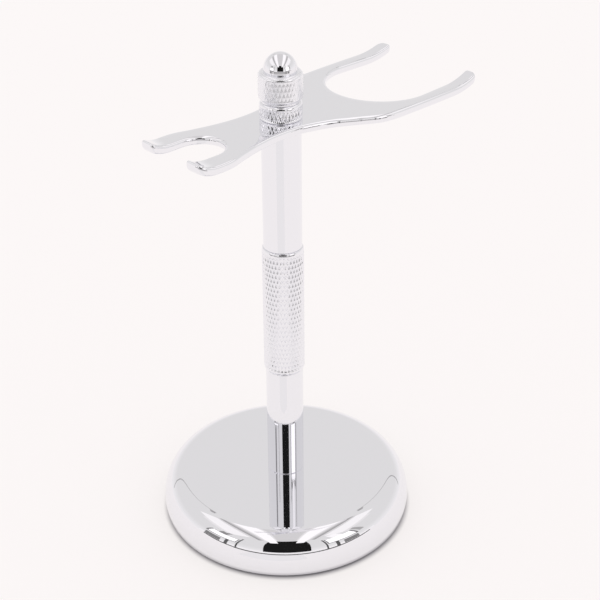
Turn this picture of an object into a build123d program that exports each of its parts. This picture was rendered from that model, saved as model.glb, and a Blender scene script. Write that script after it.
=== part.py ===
from build123d import *
import math
import os

# Razor and brush stand: a weighted round base, a three-section post, a flat two-ended fork
# plate and a knurled finial nut that clamps the plate to the post.
# Millimetres, +Z up. The origin is on the post's axis, on the surface the stand rests on.
# +X points along the fork plate towards the wide brush fork.

# Base
base_height = 13.0
flat_radius = 30.2
rim_upper_radius = 6.85
rim_lower_radius = 11.8
rim_blend_angle = 25.0
shell_wall = 1.6
shell_bottom = 0.6
pad_radius = 35.0
pad_thickness = 2.0
ballast_radius = 34.6
ballast_chamfer = 4.9

# Post sections, bottom to top
post_radius = 5.5
grip_radius = 5.95
grip_bottom = 49.0
grip_top = 89.0
grip_bevel_height = 1.2
post_edge_chamfer = 0.15

# Fork plate
plate_top = 127.5
plate_thickness = 2.4
waist_half_width = 8.8
brush_throat_radius = 15.3
brush_throat_x = 38.2
brush_fork_taper = 2.4
brush_tip_x = 58.5
brush_tip_half_width = 19.0
razor_slot_radius = 6.3
razor_throat_x = -28.0
razor_tip_x = -38.2
razor_tip_half_width = 12.3
brush_bend_x = 48.5
brush_bend_radius = 25.0
brush_bend_angle = 38.0
razor_bend_x = -32.4
razor_bend_radius = 9.5
razor_bend_angle = 60.0
tip_outer_radius = 2.4
tip_inner_radius = 1.0

# Clamp collar, knurled nut and ball
collar_radius = 5.8
collar_height = 4.8
collar_shoulder = 1.0
nut_radius = 6.0
nut_neck_radius = 5.3
nut_neck_height = 0.4
nut_bevel_height = 0.8
nut_height = 8.1
nut_shoulder = 1.1
ball_radius = 4.5
ball_centre_z = 140.95
ball_stem_radius = 1.5
ball_stem_length = 2.4

# Fasteners: all the screw threads are M5, drawn as plain cylinders at their outside diameter
thread_radius = 2.5
running_clearance = 0.08
clearance_hole_radius = 2.75
joint_stud_length = 16.0
stud_hole_spare = 0.6
stud_end_chamfer = 0.4
base_screw_length = 18.0
screw_head_radius = 4.75
screw_head_height = 2.75
screw_socket_across_flats = 3.0
screw_socket_depth = 1.6
flat_washer_radius = 5.0
flat_washer_thickness = 1.0
lock_washer_radius = 4.6
lock_washer_thickness = 1.2
lock_washer_gap = 0.8
washer_hole_radius = 2.6
pocket_radius = 6.0
pocket_top = 7.4
top_stud_top = 136.6
top_stud_grip = 12.0

plate_bottom = plate_top - plate_thickness
collar_top = plate_top + collar_height
nut_top = collar_top + nut_height
shell_underside = base_height - shell_wall
flat_washer_bottom = pocket_top - flat_washer_thickness
lock_washer_bottom = flat_washer_bottom - lock_washer_thickness
nut_thread_top = top_stud_top + 0.4


def tube(outer, inner, bottom, top):
    """A round tube, or a disc with a hole, between two heights."""
    return cylinder(outer, bottom, top) - cylinder(inner, bottom, top)


def cylinder(radius, bottom, top):
    """A solid cylinder about the post's axis between two heights."""
    return Pos(0, 0, bottom) * Cylinder(radius, top - bottom, align=(Align.CENTER, Align.CENTER, Align.MIN))


def turned(*edges):
    """A solid of revolution about the post's axis from edges in the XZ plane."""
    return revolve(make_face(Curve() + list(edges)), Axis.Z)


def outline(points):
    """A turned solid whose half section is a plain polygon of (radius, height) points."""
    corners = [(r, 0, z) for r, z in points]
    return turned(Polyline(*corners, close=True))


def rim_points(wall):
    """Where the rim's two arcs start, blend and end, moved inwards by the wall."""
    blend = math.radians(rim_blend_angle)
    upper = rim_upper_radius - wall
    lower = rim_lower_radius - wall
    upper_z = base_height - rim_upper_radius
    lower_x = flat_radius + (rim_upper_radius - rim_lower_radius) * math.cos(blend)
    lower_z = upper_z + (rim_upper_radius - rim_lower_radius) * math.sin(blend)
    start = (flat_radius, 0, upper_z + upper)
    meet = (flat_radius + upper * math.cos(blend), 0, upper_z + upper * math.sin(blend))
    foot_drop = lower_z - shell_bottom
    end = (lower_x + math.sqrt(lower**2 - foot_drop**2), 0, shell_bottom)
    return start, meet, end


def rim_solid(wall):
    """The base's outer form, or the hollow inside it when a wall is given."""
    start, meet, end = rim_points(wall)
    top = Line((0, 0, start[2]), start)
    upper_arc = TangentArc(start, meet, tangent=(1, 0, 0))
    lower_arc = TangentArc(meet, end, tangent=upper_arc % 1)
    foot = Line(end, (0, 0, shell_bottom))
    axis = Line((0, 0, shell_bottom), (0, 0, start[2]))
    return turned(top, upper_arc, lower_arc, foot, axis)


def base_shell():
    """Plated cover: flat top, bulging rim, hollow underneath."""
    hole = cylinder(clearance_hole_radius, 0, base_height + 1)
    return rim_solid(0) - rim_solid(shell_wall) - hole


def base_ballast():
    """Iron weight that fills the shell, with a pocket for the centre screw's head."""
    slug = outline([
        (0, pad_thickness),
        (ballast_radius, pad_thickness),
        (ballast_radius, shell_underside - ballast_chamfer),
        (ballast_radius - ballast_chamfer, shell_underside),
        (0, shell_underside),
    ])
    pocket = cylinder(pocket_radius, 0, pocket_top)
    hole = cylinder(clearance_hole_radius, 0, base_height)
    return slug - pocket - hole


def base_pad():
    """Soft foot disc, standing a little below the shell's edge."""
    disc = cylinder(pad_radius, 0, pad_thickness)
    return chamfer(disc.edges().group_by(Axis.Z)[0], 0.2)


def base_screw():
    """Button-head screw that pulls the post down on the base."""
    head_bottom = lock_washer_bottom - screw_head_height
    head = cylinder(screw_head_radius, head_bottom, lock_washer_bottom)
    head = fillet(head.edges().group_by(Axis.Z)[0], screw_head_height * 0.6)
    socket = RegularPolygon(screw_socket_across_flats / 2, 6, major_radius=False)
    socket = extrude(Pos(0, 0, head_bottom) * socket, screw_socket_depth)
    shank = cylinder(thread_radius, lock_washer_bottom, lock_washer_bottom + base_screw_length)
    shank = chamfer(shank.edges().group_by(Axis.Z)[-1], stud_end_chamfer)
    return head + shank - socket


def base_flat_washer():
    """Flat washer under the lock washer, against the roof of the ballast's pocket."""
    return tube(flat_washer_radius, washer_hole_radius, flat_washer_bottom, pocket_top)


def base_lock_washer():
    """Split spring washer between the screw's head and the flat washer."""
    ring = tube(lock_washer_radius, washer_hole_radius, lock_washer_bottom, flat_washer_bottom)
    split = Pos(lock_washer_radius, 0, lock_washer_bottom) * Box(
        2 * lock_washer_radius, lock_washer_gap, 3 * lock_washer_thickness
    )
    return ring - split


def stud(bottom, top):
    """A headless threaded stud with a chamfer at each end."""
    body = cylinder(thread_radius, bottom, top)
    return chamfer(body.edges().filter_by(GeomType.CIRCLE), stud_end_chamfer)


def joint_stud(joint_z):
    """The stud that joins two post sections, half in each."""
    return stud(joint_z - joint_stud_length / 2, joint_z + joint_stud_length / 2)


def stud_socket(joint_z):
    """The threaded holes on both sides of a joint, a little deeper than the stud."""
    reach = joint_stud_length / 2 + stud_hole_spare
    return cylinder(thread_radius, joint_z - reach, joint_z + reach)


def lower_post():
    """Plain section that stands on the base."""
    bar = chamfer(cylinder(post_radius, base_height, grip_bottom).edges(), post_edge_chamfer)
    screw_hole_top = lock_washer_bottom + base_screw_length + stud_hole_spare
    return bar - cylinder(thread_radius, 0, screw_hole_top) - stud_socket(grip_bottom)


def knurled_grip():
    """Thicker middle section, bevelled down to the post's size at both ends."""
    bar = outline([
        (0, grip_bottom),
        (post_radius, grip_bottom),
        (grip_radius, grip_bottom + grip_bevel_height),
        (grip_radius, grip_top - grip_bevel_height),
        (post_radius, grip_top),
        (0, grip_top),
    ])
    return bar - stud_socket(grip_bottom) - stud_socket(grip_top)


def upper_post():
    """Plain section that carries the fork plate."""
    bar = chamfer(cylinder(post_radius, grip_top, plate_bottom).edges(), post_edge_chamfer)
    stud_hole = cylinder(thread_radius, plate_bottom - top_stud_grip - stud_hole_spare, plate_top)
    return bar - stud_socket(grip_top) - stud_hole


def top_stud():
    """Stud that rises from the post through the plate and collar into the nut."""
    return stud(plate_bottom - top_stud_grip, top_stud_top)


def corners(plan, x, y):
    """The plan's two mirrored corners at a distance y from its middle line."""
    return [v for v in plan.vertices() if abs(v.X - x) < 0.01 and abs(abs(v.Y) - y) < 0.01]


def plate_plan():
    """The fork plate seen from above: a waisted strip with a fork at each end."""
    side = Spline(
        (brush_tip_x, brush_tip_half_width),
        (48.0, 19.4),
        (32.0, 19.4),
        (21.5, 18.7),
        (14.8, 15.3),
        (8.4, 11.6),
        (0.0, waist_half_width),
        (-8.0, 8.2),
        (-15.5, 9.1),
        (-22.5, 10.8),
        (-28.5, 12.4),
        (razor_tip_x, razor_tip_half_width),
    )
    taper = math.radians(brush_fork_taper)
    throat_end_x = brush_throat_x + brush_throat_radius * math.sin(taper)
    throat_end_y = brush_throat_radius * math.cos(taper)
    tip_half_gap = throat_end_y - (brush_tip_x - throat_end_x) * math.tan(taper)
    brush_end = Polyline((brush_tip_x, brush_tip_half_width), (brush_tip_x, tip_half_gap),
                         (throat_end_x, throat_end_y))
    brush_throat = ThreePointArc((throat_end_x, throat_end_y), (brush_throat_x - brush_throat_radius, 0),
                                 (throat_end_x, -throat_end_y))
    razor_end = Polyline((razor_tip_x, razor_tip_half_width), (razor_tip_x, razor_slot_radius),
                         (razor_throat_x, razor_slot_radius))
    razor_throat = RadiusArc((razor_throat_x, razor_slot_radius), (razor_throat_x, -razor_slot_radius),
                             razor_slot_radius)
    half = [side, brush_end, razor_end]
    mirrored = [mirror(piece, Plane.XZ) for piece in half]
    plan = make_face(Curve() + half + mirrored + [brush_throat, razor_throat])
    outer = corners(plan, brush_tip_x, brush_tip_half_width) + corners(plan, razor_tip_x, razor_tip_half_width)
    plan = fillet(outer, tip_outer_radius)
    inner = corners(plan, brush_tip_x, tip_half_gap) + corners(plan, razor_tip_x, razor_slot_radius)
    return fillet(inner, tip_inner_radius)


def tip_arcs(direction, start_x, bend_radius, bend_angle):
    """Side view of one bent-up tip: the plate's upper and lower arcs and the line between their ends."""
    def arc(radius):
        points = []
        for part in (0, 0.5, 1):
            turn = math.radians(bend_angle * part)
            x = start_x + direction * radius * math.sin(turn)
            points.append((x, 0, plate_top + bend_radius - radius * math.cos(turn)))
        return ThreePointArc(*points)

    upper = arc(bend_radius)
    lower = arc(bend_radius + plate_thickness)
    return upper, Line(upper @ 1, lower @ 1), lower


def plate_side():
    """Side view of the plate: flat, then bent up past the ends of both forks, which the plan cuts."""
    brush_upper, brush_end, brush_lower = tip_arcs(1, brush_bend_x, brush_bend_radius, brush_bend_angle)
    razor_upper, razor_end, razor_lower = tip_arcs(-1, razor_bend_x, razor_bend_radius, razor_bend_angle)
    top = Line(razor_upper @ 0, brush_upper @ 0)
    bottom = Line(razor_lower @ 0, brush_lower @ 0)
    tips = [brush_upper, brush_end, brush_lower, razor_upper, razor_end, razor_lower]
    return make_face(Curve() + [top, bottom] + tips)


def fork_plate():
    """Plate with a wide fork for the brush, a narrow one for the razor and bent-up tips."""
    prism = extrude(Pos(0, 0, plate_bottom - 1) * plate_plan(), 12)
    strip = extrude(plate_side(), 40, both=True)
    plate = prism & strip
    hole = cylinder(thread_radius + running_clearance, plate_bottom - 1, plate_top + 1)
    return plate - hole


def clamp_collar():
    """Knurled collar between the plate and the nut, with a rounded upper shoulder."""
    ring = cylinder(collar_radius, plate_top, collar_top)
    ring = fillet(ring.edges().group_by(Axis.Z)[-1], collar_shoulder)
    return ring - cylinder(thread_radius + running_clearance, plate_top - 1, collar_top + 1)


def finial_nut():
    """Knurled nut: short neck, bevel, full width and a rounded upper shoulder."""
    neck_top = collar_top + nut_neck_height
    bevel_top = neck_top + nut_bevel_height
    body = outline([
        (0, collar_top),
        (nut_neck_radius, collar_top),
        (nut_neck_radius, neck_top),
        (nut_radius, bevel_top),
        (nut_radius, nut_top),
        (0, nut_top),
    ])
    body = fillet(body.edges().group_by(Axis.Z)[-1], nut_shoulder)
    thread = cylinder(thread_radius + running_clearance, collar_top - 1, nut_thread_top)
    stem_hole = cylinder(ball_stem_radius + running_clearance, nut_top - ball_stem_length - 0.2, nut_top + 1)
    return body - thread - stem_hole


def finial_ball():
    """Ball that caps the nut, with a stem that sits in the nut."""
    ball = Pos(0, 0, ball_centre_z) * Sphere(ball_radius)
    ball -= cylinder(2 * ball_radius, nut_top - 2 * ball_radius, nut_top)
    return ball + cylinder(ball_stem_radius, nut_top - ball_stem_length, nut_top + 0.5)


def write_parts():
    os.makedirs("parts", exist_ok=True)
    pieces = {
        "base_shell": base_shell(),
        "base_ballast": base_ballast(),
        "base_pad": base_pad(),
        "base_screw": base_screw(),
        "base_flat_washer": base_flat_washer(),
        "base_lock_washer": base_lock_washer(),
        "lower_post": lower_post(),
        "lower_joint_stud": joint_stud(grip_bottom),
        "knurled_grip": knurled_grip(),
        "upper_joint_stud": joint_stud(grip_top),
        "upper_post": upper_post(),
        "top_stud": top_stud(),
        "fork_plate": fork_plate(),
        "clamp_collar": clamp_collar(),
        "finial_nut": finial_nut(),
        "finial_ball": finial_ball(),
    }
    for name, piece in pieces.items():
        solids = piece.solids()
        shape = solids[0] if len(solids) == 1 else Compound(solids)
        export_step(shape, f"parts/{name}.step")


write_parts()
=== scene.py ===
import math

import bpy
from mathutils import Matrix, Vector
from mathutils.geometry import delaunay_2d_cdt


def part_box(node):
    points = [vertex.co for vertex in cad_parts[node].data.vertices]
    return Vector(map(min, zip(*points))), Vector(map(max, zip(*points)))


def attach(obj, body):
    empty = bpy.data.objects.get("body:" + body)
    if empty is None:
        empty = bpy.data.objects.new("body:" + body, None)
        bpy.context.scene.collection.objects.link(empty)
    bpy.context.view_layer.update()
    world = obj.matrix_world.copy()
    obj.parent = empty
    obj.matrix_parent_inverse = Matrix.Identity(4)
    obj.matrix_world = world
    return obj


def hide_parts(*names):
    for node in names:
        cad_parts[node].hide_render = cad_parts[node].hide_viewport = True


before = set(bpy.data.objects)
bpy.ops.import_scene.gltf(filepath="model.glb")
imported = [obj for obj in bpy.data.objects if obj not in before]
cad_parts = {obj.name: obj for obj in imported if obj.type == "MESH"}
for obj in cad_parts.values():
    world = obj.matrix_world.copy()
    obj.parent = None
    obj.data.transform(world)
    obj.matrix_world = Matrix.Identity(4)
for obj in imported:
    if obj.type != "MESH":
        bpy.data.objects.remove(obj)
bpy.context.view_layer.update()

MM = 0.001

# Sizes taken from the frame, in millimetres
base_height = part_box("base_shell")[1].z / MM
shell_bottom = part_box("base_shell")[0].z / MM
post_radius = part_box("lower_post")[1].x / MM
grip_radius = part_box("knurled_grip")[1].x / MM
grip_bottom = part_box("knurled_grip")[0].z / MM
grip_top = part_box("knurled_grip")[1].z / MM
pad_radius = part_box("base_pad")[1].x / MM
pad_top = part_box("base_pad")[1].z / MM
plate_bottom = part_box("fork_plate")[0].z / MM
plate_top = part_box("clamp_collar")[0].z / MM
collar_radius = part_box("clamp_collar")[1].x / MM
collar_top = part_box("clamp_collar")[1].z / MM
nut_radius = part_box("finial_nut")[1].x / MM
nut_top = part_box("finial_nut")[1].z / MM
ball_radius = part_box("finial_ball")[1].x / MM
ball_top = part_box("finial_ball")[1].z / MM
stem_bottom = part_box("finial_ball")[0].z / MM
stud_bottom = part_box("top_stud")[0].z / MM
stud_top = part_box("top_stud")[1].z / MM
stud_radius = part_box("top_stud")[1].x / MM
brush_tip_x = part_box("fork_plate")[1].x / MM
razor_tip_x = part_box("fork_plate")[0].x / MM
plate_thickness = plate_top - plate_bottom

# Shapes that a box doesn't give, as the part has them, in millimetres
flat_radius = 30.2
rim_upper_radius = 6.85
rim_lower_radius = 11.8
rim_blend_angle = 25.0
shell_wall = 1.6
screw_hole_radius = 2.75
thread_pitch = 0.8
running_clearance = 0.08
socket_spare = 0.6
nut_thread_spare = 0.4
stem_radius = 1.5
stem_spare = 0.2
stud_hole_radius = stud_radius + running_clearance

# Details that only the look has, in millimetres
lip_radius = 0.35
edge_radius = 0.9
knurl_pitch = 1.04
knurl_length = 3.0
grip_knurl_depth, collar_knurl_depth, nut_knurl_depth = 0.3, 0.22, 0.06


# ---------------------------------------------------------------- meshes

def new_piece(name, points, faces, body, slot, *nodes):
    """A smooth-shaded mesh in place of the named CAD nodes; points are in millimetres."""
    crease_angle = 40
    mesh = bpy.data.meshes.new(name)
    mesh.from_pydata([[c * MM for c in p] for p in points], [], faces)
    mesh.validate()
    for polygon in mesh.polygons:
        polygon.use_smooth = True
    mesh.set_sharp_from_angle(angle=math.radians(crease_angle))
    piece = bpy.data.objects.new(name, mesh)
    bpy.context.scene.collection.objects.link(piece)
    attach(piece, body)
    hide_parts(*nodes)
    return piece


def arc(centre_r, centre_z, radius, start, end, steps):
    """Points on an arc in the (radius, height) half plane; angles in degrees from the horizontal."""
    angles = [math.radians(start + (end - start) * i / steps) for i in range(steps + 1)]
    return [(centre_r + radius * math.cos(a), centre_z + radius * math.sin(a)) for a in angles]


def revolve(profile, segments, closed, relief=None):
    """Turns (radius, height) points about the post's axis. A closed section is a ring; an open one
    starts and ends on the axis. relief(angle, height, index) is taken off the radius."""
    points, faces = [], []
    rings = []
    for index, (radius, height) in enumerate(profile):
        if radius < 1e-6:
            rings.append([len(points)] * segments)
            points.append((0, 0, height))
            continue
        rings.append(list(range(len(points), len(points) + segments)))
        for i in range(segments):
            angle = 2 * math.pi * i / segments
            r = radius - (relief(angle, height, index) if relief else 0)
            points.append((r * math.cos(angle), r * math.sin(angle), height))
    count = len(rings)
    for k in range(count if closed else count - 1):
        low, high = rings[k], rings[(k + 1) % count]
        for i in range(segments):
            j = (i + 1) % segments
            corners = [low[i], low[j], high[j], high[i]]
            corners = [c for n, c in enumerate(corners) if c not in corners[:n]]
            if len(corners) > 2:
                faces.append(corners)
    return points, faces


def edge_break(radius, height, size, direction):
    """A small rounded edge at an outer corner; direction is +1 at a top corner, -1 at a bottom one."""
    centre_z = height - direction * size
    return arc(radius - size, centre_z, size, 0, direction * 90, 5)


def rim(wall):
    """The rim's two arcs, from the flat top down to the lip, moved inwards by the wall."""
    blend = math.radians(rim_blend_angle)
    upper_z = base_height - rim_upper_radius
    lower_r = flat_radius + (rim_upper_radius - rim_lower_radius) * math.cos(blend)
    lower_z = upper_z + (rim_upper_radius - rim_lower_radius) * math.sin(blend)
    lower = rim_lower_radius - wall
    foot = -math.degrees(math.asin((lower_z - shell_bottom - lip_radius) / lower))
    upper_arc = arc(flat_radius, upper_z, rim_upper_radius - wall, 90, rim_blend_angle, 40)
    return upper_arc + arc(lower_r, lower_z, lower, rim_blend_angle, foot, 40)[1:]


def base_cover():
    """The plated shell: flat top, two-arc rim, rolled lip and the hollow underneath. The flat has
    points of its own close to the rim, so that it is shaded flat up to there."""
    flat_end = flat_radius - 0.1
    flat_middle = 12.0
    roof = base_height - shell_wall
    lip_z = shell_bottom + lip_radius
    outer = rim(0)
    inner = rim(shell_wall)
    top = [(r, base_height) for r in (screw_hole_radius, flat_middle, flat_end)]
    roll_out = arc(outer[-1][0] - lip_radius, lip_z, lip_radius, -15, -90, 5)
    roll_in = arc(inner[-1][0] + lip_radius, lip_z, lip_radius, -90, -165, 5)
    under = [(flat_end, roof), (screw_hole_radius, roof)]
    profile = top + outer + roll_out + roll_in + inner[::-1] + under
    points, faces = revolve(profile[::-1], 256, closed=True)
    return new_piece("base_cover", points, faces, "stand", "polished_chrome", "base_shell")


def rubber_foot():
    """The foot disc: broken edges and three moulded grooves under it for grip."""
    width, depth, slope = 1.2, 0.35, 0.15
    top_break, bottom_break = 0.2, 0.3
    profile = [(0, pad_top), (pad_radius - top_break, pad_top), (pad_radius, pad_top - top_break)]
    profile += arc(pad_radius - bottom_break, bottom_break, bottom_break, 0, -90, 5)
    for outer in (32.0, 22.0, 12.0):
        inner = outer - width
        profile += [(outer, 0), (outer - slope, depth), (inner, depth), (inner - slope, 0)]
    profile.append((0, 0))
    points, faces = revolve(profile[::-1], 128, closed=False)
    return new_piece("rubber_foot", points, faces, "stand", "black_rubber", "base_pad")


def socket(radius, end, face):
    """A blind hole in a face, from the middle of its end out to its mouth."""
    return [(0, end), (radius, end), (radius, face)]


def socket_above(face, node):
    """The hole in a lower face for the screw or stud that is the named node."""
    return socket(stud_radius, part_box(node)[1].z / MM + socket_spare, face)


def socket_below(face, node):
    """The hole in an upper face for the stud that is the named node, from its mouth inward."""
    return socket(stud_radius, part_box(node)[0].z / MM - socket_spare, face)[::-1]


def plain_bar(name, bottom, top, node, lower_stud, upper_stud):
    """A plain post section with softly broken edges; its wall stays straight up to them."""
    size, clear = 0.25, 0.3
    profile = socket_above(bottom, lower_stud) + edge_break(post_radius, bottom, size, -1)[::-1]
    profile += [(post_radius, bottom + clear), (post_radius, top - clear)]
    profile += edge_break(post_radius, top, size, 1) + socket_below(top, upper_stud)
    points, faces = revolve(profile, 128, closed=False)
    return new_piece(name, points, faces, "stand", "polished_chrome", node)


def diamond(angle, height, radius):
    """0 on the flat top of a knurl's diamond and 1 in the bottom of its grooves."""
    flat_share = 0.25
    count = round(2 * math.pi * radius / knurl_pitch)
    along = count * angle / (2 * math.pi)
    across = height / knurl_length
    first = abs((along + across) % 1 - 0.5) * 2
    second = abs((along - across) % 1 - 0.5) * 2
    return max(0.0, max(first, second) - flat_share) / (1 - flat_share)


def knurled(name, lower, band, upper, depth, body, node, bored=False):
    """A turned piece with plain ends and a knurled band between two heights. lower and upper are
    the profile points below and above the band; a bored piece has a hole right through. The
    knurl fades out over the last rings at both ends of the band."""
    ring_step, fading_rings, segments_per_diamond = 0.2, 2, 10
    bottom, top, radius = band
    steps = round((top - bottom) / ring_step)
    run = [(radius, bottom + (top - bottom) * i / steps) for i in range(steps + 1)]
    first = len(lower)
    last = first + len(run) - 1

    def relief(angle, height, index):
        if index <= first or index >= last:
            return 0
        edge = min(1, (index - first) / fading_rings, (last - index) / fading_rings)
        return depth * edge * diamond(angle, height, radius)

    segments = segments_per_diamond * round(2 * math.pi * radius / knurl_pitch)
    points, faces = revolve(lower + run + upper, segments, closed=bored, relief=relief)
    return new_piece(name, points, faces, body, "knurled_chrome", node)


def grip_bevel(face, rise):
    """A rounded bevel from the post's size at a face out to the grip's; rise is negative downward."""
    step = grip_radius - post_radius
    turns = [math.radians(angle) for angle in range(0, 90, 9)]
    return [(post_radius + step * math.sin(t), face + rise * (1 - math.cos(t))) for t in turns]


def grip():
    """The thicker middle section, bevelled to the post's size at both ends."""
    bevel = 1.2
    lower = socket_above(grip_bottom, "lower_joint_stud") + grip_bevel(grip_bottom, bevel)
    upper = grip_bevel(grip_top, -bevel)[::-1] + socket_below(grip_top, "upper_joint_stud")
    band = (grip_bottom + bevel, grip_top - bevel, grip_radius)
    return knurled("knurled_grip_section", lower, band, upper, grip_knurl_depth, "stand", "knurled_grip")


def collar():
    """Lower knurled ring with a rounded upper shoulder, bored for the stud."""
    shoulder, foot, plain = 1.0, 0.3, 0.1
    lower = [(stud_hole_radius, plate_top)]
    lower += arc(collar_radius - foot, plate_top + foot, foot, -90, 0, 4)
    upper = arc(collar_radius - shoulder, collar_top - shoulder, shoulder, 0, 90, 12)
    upper += [(stud_hole_radius, collar_top)]
    band = (plate_top + foot + plain, collar_top - shoulder - plain, collar_radius)
    return knurled("knurled_collar", lower, band, upper, collar_knurl_depth, "fork_head", "clamp_collar",
                   bored=True)


def nut():
    """Knurled nut: short neck, bevel, full width and a rounded upper shoulder."""
    shoulder, plain, corner = 1.1, 0.1, 0.05
    neck_radius, neck_top, bevel_top = 5.3, collar_top + 0.4, collar_top + 1.2
    lower = socket(stud_hole_radius, stud_top + nut_thread_spare, collar_top)
    lower += [(neck_radius, collar_top), (neck_radius, neck_top)]
    lower += [(nut_radius - corner, bevel_top - corner)]
    upper = arc(nut_radius - shoulder, nut_top - shoulder, shoulder, 0, 90, 12)
    upper += socket(stem_radius + running_clearance, stem_bottom - stem_spare, nut_top)[::-1]
    band = (bevel_top + corner, nut_top - shoulder - plain, nut_radius)
    return knurled("knurled_nut", lower, band, upper, nut_knurl_depth, "nut", "finial_nut")


def ball():
    """Ball sitting flat on the nut, with the stem that goes down into it."""
    centre = ball_top - ball_radius
    seat = -math.degrees(math.asin((centre - nut_top) / ball_radius))
    chamfer = 0.2
    profile = [(0, stem_bottom), (stem_radius - chamfer, stem_bottom), (stem_radius, stem_bottom + chamfer)]
    profile += [(stem_radius, nut_top)]
    profile += arc(0, centre, ball_radius, seat, 90, 64)
    profile[-1] = (0, ball_top)
    points, faces = revolve(profile, 128, closed=False)
    return new_piece("ball_finial", points, faces, "finial", "polished_chrome", "finial_ball")


def threaded_stud():
    """The stud that the nut runs on, with a real M5 helix and chamfered ends."""
    segments, steps_per_turn = 48, 12
    depth, crest_share = 0.613 * thread_pitch, 0.12
    chamfer_height, end_height = 0.6, 0.05
    count = round((stud_top - stud_bottom) / thread_pitch * steps_per_turn)
    profile = [(0, stud_bottom)]
    for i in range(count + 1):
        height = stud_bottom + (stud_top - stud_bottom) * i / count
        from_end = min(height - stud_bottom, stud_top - height) + end_height
        full = min(1, from_end / chamfer_height)
        profile.append((stud_radius - depth * (1 - full), height))
    profile.append((0, stud_top))

    def relief(angle, height, index):
        phase = (height / thread_pitch - angle / (2 * math.pi)) % 1
        slope = abs(phase - 0.5) * 2
        groove = depth * max(0, slope - crest_share) / (1 - crest_share)
        room = stud_radius - profile[index][0]
        return max(0, groove - room)

    points, faces = revolve(profile, segments, closed=False, relief=relief)
    return new_piece("threaded_stud", points, faces, "stand", "zinc_plated_steel", "top_stud")


# The fork plate's shape, as the part has it: one side from above, from the brush tip to the razor
# tip, then the two throats, the prongs and where they bend up
plate_side_points = [
    (brush_tip_x, 19.0), (48.0, 19.4), (32.0, 19.4), (21.5, 18.7), (14.8, 15.3), (8.4, 11.6), (0.0, 8.8),
    (-8.0, 8.2), (-15.5, 9.1), (-22.5, 10.8), (-28.5, 12.4), (razor_tip_x, 12.3),
]
brush_throat_x, brush_throat_radius = 38.2, 15.3
brush_fork_taper = 2.4
razor_throat_x, razor_slot_radius = -28.0, 6.3
tip_outer_radius, tip_inner_radius = 2.4, 1.0
brush_bend_x, brush_bend_radius = 48.5, 25.0
razor_bend_x, razor_bend_radius = -32.4, 9.5


def smooth_run(points, steps):
    """A Catmull-Rom curve through the points."""
    ends = [points[0]] + points + [points[-1]]
    run = []
    for i in range(1, len(ends) - 2):
        a, b, c, d = (Vector(p) for p in ends[i - 1:i + 3])
        for k in range(steps):
            t = k / steps
            run.append(0.5 * (2 * b + (c - a) * t + (2 * a - 5 * b + 4 * c - d) * t**2
                              + (3 * b - a - 3 * c + d) * t**3))
    return run + [Vector(points[-1])]


def rounded_corner(before, corner, after, radius, steps):
    """Points that round a corner between two straight directions."""
    to_before = (before - corner).normalized()
    to_after = (after - corner).normalized()
    half = to_before.angle(to_after) / 2
    reach = radius / math.tan(half)
    centre = corner + (to_before + to_after).normalized() * radius / math.sin(half)
    start = corner + to_before * reach - centre
    sweep = start.angle_signed(corner + to_after * reach - centre)
    return [centre + Matrix.Rotation(-sweep * i / steps, 2) @ start for i in range(steps + 1)]


def resampled(run, spacing):
    """The same polyline with points no further apart than the spacing."""
    result = []
    for a, b in zip(run, run[1:]):
        count = max(1, math.ceil((b - a).length / spacing))
        result += [a.lerp(b, i / count) for i in range(count)]
    return result + [run[-1]]


def throat(centre_x, radius, degrees):
    """Points on one half of a fork's round throat; a negative radius opens it toward +X."""
    turns = [math.radians(a) for a in degrees]
    return [Vector((centre_x + radius * math.cos(t), abs(radius) * math.sin(t))) for t in turns]


def plate_outline():
    """The plate's outline from above, once round counter-clockwise."""
    side = smooth_run(plate_side_points, 12)
    brush_outer, razor_outer = side[0], side[-1]
    taper = math.radians(brush_fork_taper)
    brush_root = Vector((brush_throat_x + brush_throat_radius * math.sin(taper),
                         brush_throat_radius * math.cos(taper)))
    brush_inner = Vector((brush_tip_x, brush_root.y - (brush_tip_x - brush_root.x) * math.tan(taper)))
    razor_root = Vector((razor_throat_x, razor_slot_radius))
    razor_inner = Vector((razor_tip_x, razor_slot_radius))
    room = tip_outer_radius * 1.2
    half = rounded_corner(brush_root, brush_inner, brush_outer, tip_inner_radius, 8)
    half += rounded_corner(brush_inner, brush_outer, side[3], tip_outer_radius, 12)
    half += [p for p in side if (p - brush_outer).length > room and (p - razor_outer).length > room]
    half += rounded_corner(side[-4], razor_outer, razor_inner, tip_outer_radius, 12)
    half += rounded_corner(razor_outer, razor_inner, razor_root, tip_inner_radius, 8)
    brush_end = throat(brush_throat_x, -brush_throat_radius, range(0, 91, 4)) + [brush_root]
    razor_end = throat(razor_throat_x, razor_slot_radius, range(90, -1, -6))
    upper = brush_end + half + razor_end
    lower = [Vector((p.x, -p.y)) for p in upper[-2:0:-1]]
    longest_step, shortest_step = 1.0, 0.02
    loop = resampled(upper + lower + [upper[0]], longest_step)[:-1]
    return [p for i, p in enumerate(loop) if (p - loop[i - 1]).length > shortest_step]


def outward_normals(loop):
    """Unit normals pointing out of a counter-clockwise loop."""
    result = []
    for i, point in enumerate(loop):
        before = (point - loop[i - 1]).normalized()
        after = (loop[(i + 1) % len(loop)] - point).normalized()
        along = (before + after).normalized()
        result.append(Vector((along.y, -along.x)))
    return result


def inside(point, loop):
    """Whether a point lies in a loop, by counting crossings."""
    hits = False
    for a, b in zip(loop, loop[1:] + loop[:1]):
        if (a.y > point.y) != (b.y > point.y):
            if point.x < (b.x - a.x) * (point.y - a.y) / (b.y - a.y) + a.x:
                hits = not hits
    return hits


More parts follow.
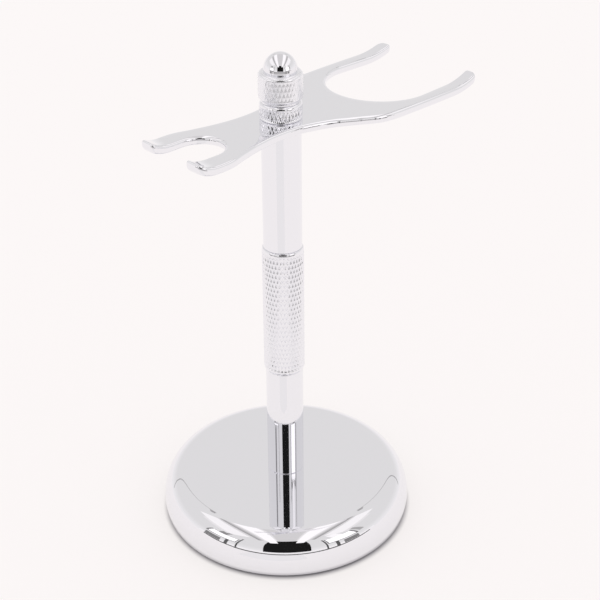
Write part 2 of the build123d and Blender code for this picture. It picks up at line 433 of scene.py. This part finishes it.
def fill(loop, hole):
    """Triangles that fill a loop around a hole, with a grid of points inside so that it can bend."""
    spacing, row_share = 1.3, 0.87
    hole_margin, loop_margin = 0.6, 0.6 * spacing
    low_x, high_x = min(p.x for p in loop), max(p.x for p in loop)
    low_y, high_y = min(p.y for p in loop), max(p.y for p in loop)
    grid = []
    y = low_y
    while y < high_y:
        x = low_x + (spacing / 2 if round(y / spacing) % 2 else 0)
        while x < high_x:
            spot = Vector((x, y))
            clear = min((spot - p).length for p in loop) > loop_margin
            if clear and spot.length > hole[0].length + hole_margin and inside(spot, loop):
                grid.append(spot)
            x += spacing
        y += spacing * row_share
    points = loop + hole + grid
    n, m = len(loop), len(hole)
    edges = [(i, (i + 1) % n) for i in range(n)] + [(n + i, n + (i + 1) % m) for i in range(m)]
    within_edges = 1
    vertices, _, triangles, *_ = delaunay_2d_cdt(points, edges, [], within_edges, 1e-5)
    kept = []
    for t in triangles:
        middle = sum((Vector(vertices[i]) for i in t), Vector((0, 0))) / 3
        if not inside(middle, hole):
            kept.append(t)
    return vertices, kept


def bent_height(x, share):
    """Height at x of a layer that lies the given share of the thickness below the top."""
    def rise(dx, radius):
        return radius - math.sqrt(radius**2 - dx**2)

    if x > brush_bend_x:
        dx, radius = x - brush_bend_x, brush_bend_radius
    elif x < razor_bend_x:
        dx, radius = razor_bend_x - x, razor_bend_radius
    else:
        return plate_top - share * plate_thickness
    top = plate_top + rise(dx, radius)
    bottom = plate_bottom + rise(dx, radius + plate_thickness)
    return top + (bottom - top) * share


def edge_layers():
    """The rings of the plate's rounded edge: how far in from the outline and how deep each lies."""
    turns = [math.radians(angle) for angle in range(0, 91, 15)]
    upper = [(edge_radius * (1 - math.sin(t)), edge_radius * (1 - math.cos(t))) for t in turns]
    return upper + [(inset, plate_thickness - depth) for inset, depth in reversed(upper)]


def stud_hole():
    """The plate's round hole for the stud, once round counter-clockwise."""
    segments = 48
    turns = [2 * math.pi * i / segments for i in range(segments)]
    return [Vector((stud_hole_radius * math.cos(a), stud_hole_radius * math.sin(a))) for a in turns]


def wall_faces(upper, lower):
    """Faces between two rings of point numbers; they face outward when the rings run
    counter-clockwise seen from above, and into the ring when upper and lower change places."""
    following = [(i, (i + 1) % len(upper)) for i in range(len(upper))]
    return [[upper[i], lower[i], lower[j], upper[j]] for i, j in following]


def fork():
    """The fork plate: rounded edges all round and tips bent up at both ends."""
    outline = plate_outline()
    normals = outward_normals(outline)
    inner = [p - n * edge_radius for p, n in zip(outline, normals)]
    hole = stud_hole()
    flat, triangles = fill(inner, hole)
    count, total = len(outline), len(flat)
    points = [(p[0], p[1], bent_height(p[0], share)) for share in (0, 1) for p in flat]
    faces = [list(t) for t in triangles]
    faces += [[total + i for i in t[::-1]] for t in triangles]
    rings = [range(count)]
    for inset, depth in edge_layers()[1:-1]:
        spots = [p - n * inset for p, n in zip(outline, normals)]
        rings.append(range(len(points), len(points) + count))
        points += [(s.x, s.y, bent_height(s.x, depth / plate_thickness)) for s in spots]
    rings.append(range(total, total + count))
    for upper, lower in zip(rings, rings[1:]):
        faces += wall_faces(upper, lower)
    hole_top = range(count, count + len(hole))
    hole_bottom = range(total + count, total + count + len(hole))
    faces += wall_faces(hole_bottom, hole_top)
    return new_piece("fork_plate_body", points, faces, "fork_head", "polished_chrome", "fork_plate")


# ---------------------------------------------------------------- materials

def shader(name, **values):
    """A material with its Principled shader's even values set on the sockets."""
    material = bpy.data.materials.new(name)
    material.use_nodes = True
    bsdf = material.node_tree.nodes["Principled BSDF"]
    for key, value in values.items():
        bsdf.inputs[key.replace("_", " ")].default_value = value
    return material, material.node_tree, bsdf


def noise(tree, scale, detail, stretch=(1, 1, 1)):
    """Noise in object space, stretched if asked."""
    place = tree.nodes.new("ShaderNodeTexCoord")
    mapping = tree.nodes.new("ShaderNodeMapping")
    mapping.inputs["Scale"].default_value = stretch
    texture = tree.nodes.new("ShaderNodeTexNoise")
    texture.inputs["Scale"].default_value = scale
    texture.inputs["Detail"].default_value = detail
    tree.links.new(place.outputs["Object"], mapping.inputs["Vector"])
    tree.links.new(mapping.outputs["Vector"], texture.inputs["Vector"])
    return texture


def spread(tree, source, low, high):
    """Maps a noise texture's usual range onto low..high."""
    usual_low, usual_high = 0.3, 0.7
    node = tree.nodes.new("ShaderNodeMapRange")
    node.inputs["From Min"].default_value = usual_low
    node.inputs["From Max"].default_value = usual_high
    node.inputs["To Min"].default_value = low
    node.inputs["To Max"].default_value = high
    tree.links.new(source.outputs["Fac"], node.inputs["Value"])
    return node.outputs["Result"]


def bump(tree, bsdf, source, strength, distance):
    node = tree.nodes.new("ShaderNodeBump")
    node.inputs["Strength"].default_value = strength
    node.inputs["Distance"].default_value = distance
    tree.links.new(source.outputs["Fac"], node.inputs["Height"])
    tree.links.new(node.outputs["Normal"], bsdf.inputs["Normal"])


chrome_colour = (0.88, 0.88, 0.91, 1)


def polished_chrome():
    """Mirror plate: almost no roughness, with faint wiped haze."""
    material, tree, bsdf = shader("mirror_chrome", Metallic=1.0, Base_Color=chrome_colour)
    haze = noise(tree, 60, 4, (1, 1, 0.3))
    tree.links.new(spread(tree, haze, 0.015, 0.045), bsdf.inputs["Roughness"])
    return material


def knurled_chrome(name, low, high):
    """Plate over cut knurling: softer than the polished parts, between two roughnesses."""
    material, tree, bsdf = shader(name, Metallic=1.0, Base_Color=chrome_colour)
    grain = noise(tree, 900, 3)
    tree.links.new(spread(tree, grain, low, high), bsdf.inputs["Roughness"])
    bump(tree, bsdf, grain, 0.05, 0.00002)
    return material


def zinc_steel():
    material, tree, bsdf = shader("zinc_steel", Metallic=1.0, Base_Color=(0.6, 0.6, 0.58, 1))
    grain = noise(tree, 500, 4, (1, 1, 8))
    tree.links.new(spread(tree, grain, 0.28, 0.42), bsdf.inputs["Roughness"])
    bump(tree, bsdf, grain, 0.1, 0.00003)
    return material


def cast_iron():
    material, tree, bsdf = shader("cast_iron", Metallic=0.6)
    grain = noise(tree, 350, 6)
    ramp = tree.nodes.new("ShaderNodeValToRGB")
    ramp.color_ramp.elements[0].color = (0.045, 0.043, 0.042, 1)
    ramp.color_ramp.elements[1].color = (0.14, 0.13, 0.125, 1)
    tree.links.new(grain.outputs["Fac"], ramp.inputs["Fac"])
    tree.links.new(ramp.outputs["Color"], bsdf.inputs["Base Color"])
    tree.links.new(spread(tree, grain, 0.6, 0.8), bsdf.inputs["Roughness"])
    bump(tree, bsdf, grain, 0.4, 0.0002)
    return material


def black_rubber():
    material, tree, bsdf = shader("black_rubber", Metallic=0.0, Specular_IOR_Level=0.35)
    grain = noise(tree, 1400, 3)
    ramp = tree.nodes.new("ShaderNodeValToRGB")
    ramp.color_ramp.elements[0].color = (0.012, 0.012, 0.013, 1)
    ramp.color_ramp.elements[1].color = (0.03, 0.03, 0.032, 1)
    tree.links.new(grain.outputs["Fac"], ramp.inputs["Fac"])
    tree.links.new(ramp.outputs["Color"], bsdf.inputs["Base Color"])
    tree.links.new(spread(tree, grain, 0.65, 0.85), bsdf.inputs["Roughness"])
    bump(tree, bsdf, grain, 0.3, 0.00008)
    return material


def paint(objects, material):
    for piece in objects:
        piece.data.materials.clear()
        piece.data.materials.append(material)


# ---------------------------------------------------------------- studio

# The camera's place and aim, in millimetres and degrees; plate_turn is how far the fork plate is
# turned from the picture's width
plate_turn = 42.78
camera_distance = 334.5
camera_height = 265.3
camera_pitch = 30.126
camera_yaw = 0.806
camera_roll = -0.417
lens = 81.02

# The light box around the stand, in millimetres
ceiling_height = 300
front_distance = 360


def toward_camera():
    """Unit direction from the post's axis to the camera, level with the floor."""
    turn = math.radians(-90 - plate_turn)
    return Vector((math.cos(turn), math.sin(turn), 0))


def add_camera():
    """The camera, in front of the stand and a little above it."""
    data = bpy.data.cameras.new("camera")
    data.lens = lens
    data.sensor_width = 36
    data.clip_start = 0.01
    camera = bpy.data.objects.new("camera", data)
    bpy.context.scene.collection.objects.link(camera)
    level = Matrix.Rotation(math.radians(-plate_turn - camera_yaw), 4, "Z")
    tilt = Matrix.Rotation(math.radians(90 - camera_pitch), 4, "X")
    roll = Matrix.Rotation(math.radians(camera_roll), 4, "Z")
    place = toward_camera() * camera_distance * MM + Vector((0, 0, camera_height * MM))
    camera.matrix_world = Matrix.Translation(place) @ level @ tilt @ roll
    bpy.context.scene.camera = camera


def spot(azimuth, distance, height):
    """A place in the room: azimuth in degrees from the camera's side, the rest in millimetres."""
    turn = math.radians(-90 - plate_turn + azimuth)
    return Vector((math.cos(turn) * distance, math.sin(turn) * distance, height)) * MM


def stage_mesh(name, points, faces, material):
    """A mesh that belongs to the studio, not to the stand."""
    mesh = bpy.data.meshes.new(name)
    mesh.from_pydata(points, [], faces)
    mesh.materials.append(material)
    piece = bpy.data.objects.new(name, mesh)
    bpy.context.scene.collection.objects.link(piece)
    return piece


def add_floor():
    """Plain pale floor that reaches past the frame. It glows with painted light, so shadows stay light,
    except under the base, where the glow ends between two radii about a point near the post's axis
    and leaves a painted contact shadow; that point sits off to the front right, so the painted
    shadow is wider there."""
    size, painted_light_strength = 4.0, 0.59
    # Painted contact shadow: inside the inner radius the floor has no glow, and the glow rises to full by
    # the outer radius
    painted_shadow_inner_radius, painted_shadow_outer_radius = 0.036, 0.0386
    material, tree, bsdf = shader("floor_white_painted_light_and_shadow", Roughness=0.9, Specular_IOR_Level=0.0)
    # Painted shadow tint: the base colour is bluer than the glow, so where the glow fades the shaded floor
    # turns violet; the glow has less blue, so the open floor stays even
    bsdf.inputs["Base Color"].default_value = (0.37, 0.355, 0.385, 1)
    bsdf.inputs["Emission Color"].default_value = (1.0, 0.97, 0.914, 1)
    place = tree.nodes.new("ShaderNodeTexCoord")
    painted_shadow_offset = tree.nodes.new("ShaderNodeMapping")
    # Painted shadow offset: the glow's centre sits a fifth of a millimetre toward the front right, so the
    # painted shadow reaches further out there
    painted_shadow_offset.inputs["Location"].default_value = -spot(40, 0.2, 0)
    reach = tree.nodes.new("ShaderNodeVectorMath")
    reach.operation = "LENGTH"
    # Painted light: this glow paints the floor bright round the base and washes out its shadow there, while
    # leaving a painted dark ring at the base's foot
    glow = tree.nodes.new("ShaderNodeMapRange")
    glow.interpolation_type = "SMOOTHSTEP"
    glow.inputs["From Min"].default_value = painted_shadow_inner_radius
    glow.inputs["From Max"].default_value = painted_shadow_outer_radius
    glow.inputs["To Min"].default_value = 0.0
    glow.inputs["To Max"].default_value = painted_light_strength
    tree.links.new(place.outputs["Object"], painted_shadow_offset.inputs["Vector"])
    tree.links.new(painted_shadow_offset.outputs["Vector"], reach.inputs[0])
    tree.links.new(reach.outputs["Value"], glow.inputs["Value"])
    tree.links.new(glow.outputs["Result"], bsdf.inputs["Emission Strength"])
    corners = [(-size, -size, 0), (size, -size, 0), (size, size, 0), (-size, size, 0)]
    stage_mesh("floor", corners, [(0, 1, 2, 3)], material)


def studio_strip(name, lower, upper, grey, strength=1.0):
    """A glowing strip seen only in reflections, between two rows of places in the room."""
    material = bpy.data.materials.new(name)
    material.use_nodes = True
    tree = material.node_tree
    tree.nodes.clear()
    warm_share = 0.97
    glow = tree.nodes.new("ShaderNodeEmission")
    glow.inputs["Color"].default_value = (grey, warm_share * grey, warm_share * grey, 1)
    glow.inputs["Strength"].default_value = strength
    output = tree.nodes.new("ShaderNodeOutputMaterial")
    tree.links.new(glow.outputs["Emission"], output.inputs["Surface"])
    count = len(lower)
    points = [spot(*place) for place in lower + upper]
    faces = [(i, i + 1, count + i + 1, count + i) for i in range(count - 1)]
    strip = stage_mesh(name, points, faces, material)
    strip.visible_camera = False
    strip.visible_diffuse = False
    strip.visible_shadow = False


def studio_panel(name, azimuths, heights, distance, grey, strength=1.0):
    """An upright curved panel across two azimuths and two heights."""
    steps = 8
    low, high = azimuths
    turns = [low + (high - low) * i / steps for i in range(steps + 1)]
    rows = [[(a, distance, z) for a in turns] for z in heights]
    studio_strip(name, rows[0], rows[1], grey, strength)


def studio_ring(name, reach, inner, outer, grey):
    """A ring sector on the camera's side; inner and outer are (distance, height) of its edges."""
    steps = 32
    azimuths = [reach * (2 * i / steps - 1) for i in range(steps + 1)]
    rows = [[(a, *edge) for a in azimuths] for edge in (inner, outer)]
    studio_strip(name, rows[0], rows[1], grey)


def add_world():
    """An even white room: a little greyer in reflections, higher up."""
    world = bpy.data.worlds.new("studio")
    bpy.context.scene.world = world
    world.use_nodes = True
    tree = world.node_tree
    tree.nodes.clear()
    output = tree.nodes.new("ShaderNodeOutputWorld")
    soft = tree.nodes.new("ShaderNodeBackground")
    soft.inputs["Color"].default_value = (1.0, 0.985, 0.98, 1)
    soft.inputs["Strength"].default_value = 1.04
    seen = tree.nodes.new("ShaderNodeBackground")
    place = tree.nodes.new("ShaderNodeTexCoord")
    split = tree.nodes.new("ShaderNodeSeparateXYZ")
    ramp = tree.nodes.new("ShaderNodeValToRGB")
    ramp.color_ramp.elements[0].position = 0.0
    ramp.color_ramp.elements[0].color = (0.95, 0.93, 0.93, 1)
    ramp.color_ramp.elements[1].position = 0.35
    ramp.color_ramp.elements[1].color = (0.81, 0.795, 0.79, 1)
    tree.links.new(place.outputs["Generated"], split.inputs["Vector"])
    tree.links.new(split.outputs["Z"], ramp.inputs["Fac"])
    tree.links.new(ramp.outputs["Color"], seen.inputs["Color"])
    path = tree.nodes.new("ShaderNodeLightPath")
    mix = tree.nodes.new("ShaderNodeMixShader")
    tree.links.new(path.outputs["Is Glossy Ray"], mix.inputs["Fac"])
    tree.links.new(soft.outputs["Background"], mix.inputs[1])
    tree.links.new(seen.outputs["Background"], mix.inputs[2])
    tree.links.new(mix.outputs["Shader"], output.inputs["Surface"])


def polar(lateral, forward, height):
    """A place in the room by its distances sideways and toward the camera."""
    return math.degrees(math.atan2(lateral, forward)), math.hypot(lateral, forward), height


def ceiling_strip(name, side, laterals, forwards, grey):
    """A strip of the ceiling that runs from front to back on one side."""
    rows = [[polar(side * lateral, forward, ceiling_height) for forward in forwards]
            for lateral in laterals]
    studio_strip(name, rows[0], rows[1], grey)


def add_ceiling(side):
    """One half of the light box's roof: a lamp, its fading edge, a dark seam and a lit panel."""
    reach = (210, -130)
    bands = [(0, 38, 0.72), (38, 44, 0.88), (44, 86, 1.14), (86, 95, 0.9), (95, 104, 0.7),
             (104, 114, 0.52), (114, 122, 0.36), (122, 140, 0.78)]
    for number, (near, far, grey) in enumerate(bands):
        ceiling_strip(f"roof_{side + 1}_{number}", side, (near, far), reach, grey)
    ceiling_strip(f"roof_lamp_end_{side + 1}", side, (44, 86), (285, 210), 1.14)
    ceiling_strip(f"roof_panel_{side + 1}", side, (140, 250), (150, -110), 1.05)
    ceiling_strip(f"roof_wing_{side + 1}", side, (250, 292), (150, -60), 0.9)
    seam_width = 14
    seam = [(side * 118, -190, 300), (side * 92, -240, 300), (side * 170, -280, 265),
            (side * 300, -300, 197), (side * 335, -220, 55)]
    edge = [polar(*place) for place in seam]
    inner = [polar(x - side * seam_width, y, z) for x, y, z in seam]
    studio_strip(f"backdrop_edge_{side + 1}", edge, inner, 0.42)


def add_lamp_box(side, low, high, top):
    """A lit box on its stand at one side of the open front, between two azimuths, and the front
    post of the light box beside it."""
    name = "left" if side < 0 else "right"
    bottom = 139

    def panel(part, start, end, heights, distance, grey, strength=1.0):
        azimuths = sorted((side * start, side * end))
        studio_panel(f"{name}_{part}", azimuths, heights, distance, grey, strength)

    panel("post", low - 3.5, low - 2, (10, ceiling_height), front_distance - 10, 0.08)
    panel("lamp", low, high, (bottom, top), front_distance, 1.0, 1.35)
    panel("lamp_frame", low - 1, high + 2, (bottom - 11, top + 10), front_distance + 5, 0.2)
    panel("lamp_foot", low + 12, high, (22, 100), front_distance, 0.25)
    panel("lamp_stem", low + 5, low + 8, (15, bottom), front_distance, 0.12)


def add_camera_shadow():
    """The dark camera and its holder at the open front, and the table's slight shade before them."""
    camera_grey = 0.012
    holder_foot = [(-20, 1100, 120), (20, 1100, 120)]
    camera_foot = [(-21, 500, 330), (21, 500, 330)]
    camera_front = [(-19, 205, 302), (19, 205, 302)]
    studio_strip("holder", holder_foot, camera_foot, camera_grey)
    studio_strip("camera_body", camera_foot, camera_front, camera_grey)
    near_edge = [(-30, 60, 0.4), (12, 60, 0.4)]
    far_edge = [(-30, 375, 0.4), (12, 375, 0.4)]
    studio_strip("table_shade_front", near_edge, far_edge, 0.91)


def add_room():
    """What a polished stand shows of its light box: the table's edge, the dark camera at the open
    front, a lamp box at each side, and the roof."""
    table_end = 1400
    studio_ring("table_beyond", 45, (380, 0.5), (table_end, 0.5), 0.5)
    studio_ring("table_edge", 75, (table_end, 0), (table_end, 50), 0.06)
    studio_ring("table_rim_light", 80, (table_end, 50), (table_end, 170), 1.0)
    add_camera_shadow()
    for side, low, high, top in ((-1, 45, 72, 240), (1, 36, 62, 290)):
        add_ceiling(side)
        add_lamp_box(side, low, high, top)
    studio_panel("right_glow", (44, 55), (290, 470), front_distance - 2, 1.0, 1.1)
    studio_panel("right_shade", (66, 71), (150, 470), front_distance + 2, 0.45)
    studio_panel("left_shade", (-67, -58), (250, 470), front_distance + 2, 0.3)


def main():
    chrome = polished_chrome()
    knurl = knurled_chrome("knurled_chrome_plate", 0.04, 0.1)
    worn_knurl = knurled_chrome("worn_knurled_chrome_plate", 0.2, 0.3)
    zinc = zinc_steel()
    iron = cast_iron()
    rubber = black_rubber()
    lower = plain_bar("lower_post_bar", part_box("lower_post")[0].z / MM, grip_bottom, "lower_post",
                      "base_screw", "lower_joint_stud")
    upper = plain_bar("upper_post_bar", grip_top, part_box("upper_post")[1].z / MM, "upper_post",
                      "upper_joint_stud", "top_stud")
    paint([base_cover(), lower, upper, fork(), ball()], chrome)
    paint([grip(), collar()], knurl)
    paint([nut()], worn_knurl)
    paint([rubber_foot()], rubber)
    paint([threaded_stud()], zinc)
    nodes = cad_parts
    steel = ["base_screw", "base_flat_washer", "base_lock_washer", "lower_joint_stud", "upper_joint_stud"]
    paint([nodes[n] for n in steel], zinc)
    paint([nodes["base_ballast"]], iron)
    add_floor()
    add_world()
    add_room()
    add_camera()
    bpy.context.scene.view_settings.view_transform = "Standard"


main()
